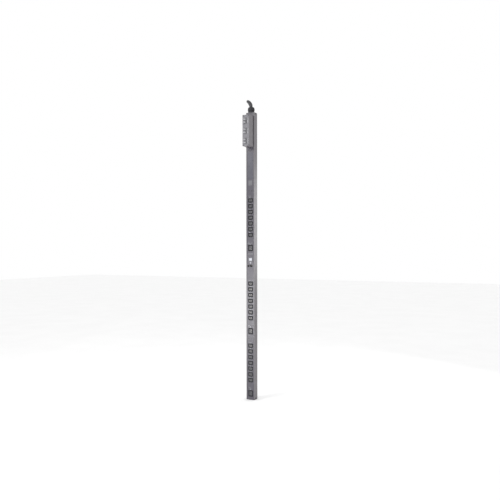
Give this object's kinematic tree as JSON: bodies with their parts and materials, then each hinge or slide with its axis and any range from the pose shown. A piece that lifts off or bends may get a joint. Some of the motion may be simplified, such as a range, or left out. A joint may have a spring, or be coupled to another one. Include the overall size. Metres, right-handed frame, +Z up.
{
  "type": "rack power strip",
  "caption": "Tall vertical rack power strip with outlet banks, a breaker box near the top, a small display with ports, and a heavy supply cord from a top gland.",
  "frame": {"origin": "centre of the chassis back face, midway between the two mounting pegs", "axes": "+Z up along the chassis, +Y out of the back, so the outlets face -Y, +X to the right seen from the front"},
  "size_m": [0.1272, 0.2582, 1.9258],
  "materials": {
    "chassis_paint": "fine textured powder coat",
    "panel_paint": "fine textured powder coat",
    "faceplate_plastic": "moulded, fine grain",
    "black_screw": "black oxide",
    "steel": "zinc plated",
    "zinc": "zinc plated sheet",
    "label_film": "satin film",
    "breaker_plastic": "moulded",
    "handle_plastic": "moulded",
    "gland_plastic": "moulded nylon",
    "seal_rubber": "soft",
    "cord_jacket": "extruded jacket",
    "board_parts": "moulded",
    "wire_insulation": "insulation",
    "outlet_plastic": "moulded thermoplastic",
    "contact_brass": "plated",
    "indicator_lens": "clear lens",
    "relay_case": "sealed case",
    "circuit_board": "solder mask",
    "insulator": "film",
    "bezel_plastic": "moulded",
    "screen": "backlit screen",
    "button_plastic": "moulded",
    "jack_plastic": "moulded",
    "tie_fabric": "hook and loop strap",
    "plug_plastic": "moulded nylon"
  },
  "bodies": {
    "chassis": {"chassis_channel": "chassis_paint", "top_end_cap": "chassis_paint", "bottom_end_cap": "chassis_paint", "breaker_housing": "chassis_paint", "front_panel": "panel_paint", "breaker_faceplate": "faceplate_plastic", "end_cap_screws": "black_screw", "panel_screws": "black_screw", "faceplate_screws": "steel", "panel_rails": "zinc", "mounting_pegs": "steel", "label_plates": "label_film", "breaker_1_body": "breaker_plastic", "breaker_2_body": "breaker_plastic", "breaker_3_body": "breaker_plastic", "gland_body": "gland_plastic", "gland_locknut": "gland_plastic", "gland_dome_nut": "gland_plastic", "gland_seal": "seal_rubber", "cord_entry": "cord_jacket", "terminal_block": "board_parts", "internal_wires": "wire_insulation", "ground_stud": "steel", "c13_outlets_bank_1": "outlet_plastic", "c13_outlets_bank_2": "outlet_plastic", "c13_outlets_bank_3": "outlet_plastic", "c19_outlets": "outlet_plastic", "outlet_contacts": "contact_brass", "outlet_indicators": "indicator_lens", "outlet_relays": "relay_case", "relay_boards": "circuit_board", "board_spacers": "contact_brass", "bus_taps": "contact_brass", "bus_bars": "contact_brass", "control_plate": "panel_paint", "bus_supports": "board_parts", "current_sensors": "board_parts", "insulating_sheet": "insulator", "power_supply_board": "circuit_board", "power_supply_parts": "board_parts", "controller_board": "circuit_board", "controller_standoffs": "contact_brass", "button_switches": "board_parts", "display_bezel": "bezel_plastic", "display_module": "screen", "serial_jack": "jack_plastic", "network_jack": "jack_plastic", "power_cord": "cord_jacket", "cord_hank": "cord_jacket", "cord_tail": "cord_jacket", "hank_tie": "tie_fabric", "plug_strain_relief": "plug_plastic", "plug_body": "plug_plastic", "plug_blades": "contact_brass"},
    "breaker_1_handle": {"breaker_1_handle": "handle_plastic"},
    "breaker_2_handle": {"breaker_2_handle": "handle_plastic"},
    "breaker_3_handle": {"breaker_3_handle": "handle_plastic"},
    "scroll_button": {"scroll_button": "button_plastic"},
    "reset_button": {"reset_button": "bezel_plastic"}
  },
  "joints": [
    {"name": "breaker_1_toggle", "type": "hinge", "parent": "chassis", "child": "breaker_1_handle", "pos_m": [-0.002, -0.0983, 0.7225], "axis": [0, 0, 1], "range_deg": [0, 44]},
    {"name": "breaker_2_toggle", "type": "hinge", "parent": "chassis", "child": "breaker_2_handle", "pos_m": [-0.002, -0.0983, 0.786], "axis": [0, 0, 1], "range_deg": [0, 44]},
    {"name": "breaker_3_toggle", "type": "hinge", "parent": "chassis", "child": "breaker_3_handle", "pos_m": [-0.002, -0.0983, 0.8495], "axis": [0, 0, 1], "range_deg": [0, 44]},
    {"name": "scroll_press", "type": "slide", "parent": "chassis", "child": "scroll_button", "axis": [0, 1, 0], "range_m": [0, 0.0008], "stiffness_N_per_m": 600, "springref_m": -0.001},
    {"name": "reset_press", "type": "slide", "parent": "chassis", "child": "reset_button", "axis": [0, 1, 0], "range_m": [0, 0.0008], "stiffness_N_per_m": 600, "springref_m": -0.001}
  ]
}
